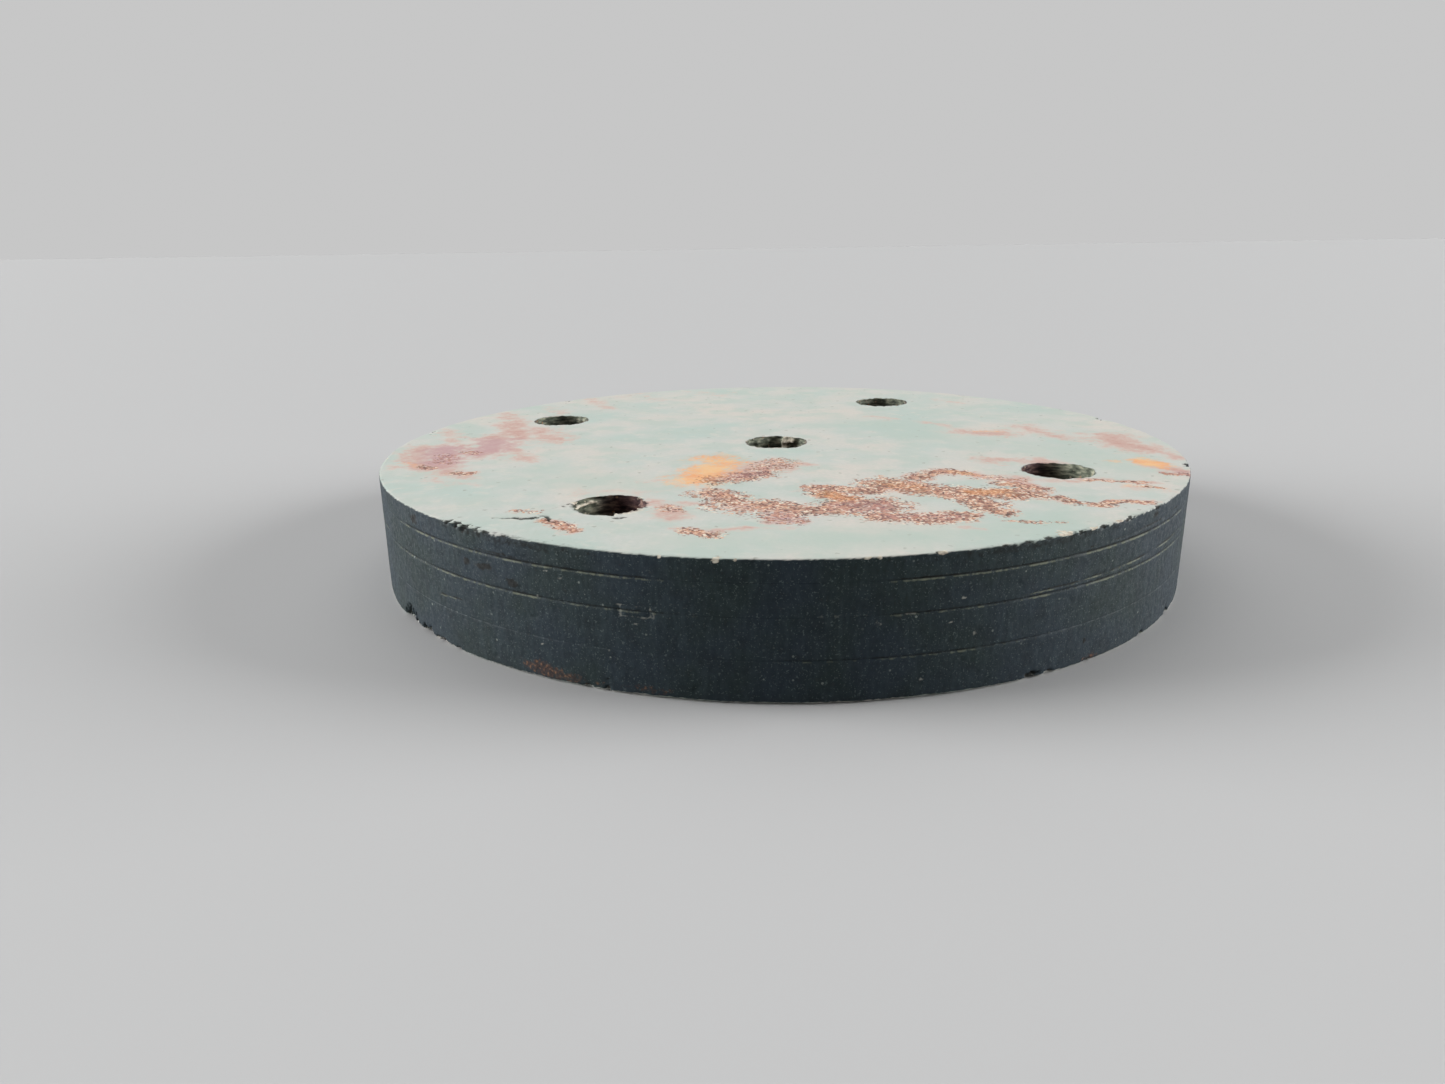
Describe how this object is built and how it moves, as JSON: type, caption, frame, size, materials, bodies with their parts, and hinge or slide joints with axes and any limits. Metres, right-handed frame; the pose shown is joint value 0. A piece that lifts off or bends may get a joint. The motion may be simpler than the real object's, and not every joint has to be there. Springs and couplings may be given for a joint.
{
  "type": "friction lining disc",
  "caption": "Flat round puck of moulded friction lining in bonded plies, with a small centre hole and a ring of through holes for fixing it to a carrier plate.",
  "frame": {"origin": "middle of the lower face, which the disc rests on", "axes": "+Z along the disc's axis, out of the upper face; the ring of fastener holes is turned so that its first hole lies 31 degrees clockwise of +X, seen from above"},
  "size_m": [0.0698, 0.0698, 0.0095],
  "materials": {
    "face_ply_composite": "dry, chalky sage-grey moulded friction composite with rust stains",
    "core_ply_composite": "dark green-grey moulded friction composite with fine pale flecks, satin on the rim"
  },
  "bodies": {
    "root": {"bottom_face_ply": "face_ply_composite", "lower_core_ply": "core_ply_composite", "upper_core_ply": "core_ply_composite", "top_face_ply": "face_ply_composite"}
  },
  "joints": []
}
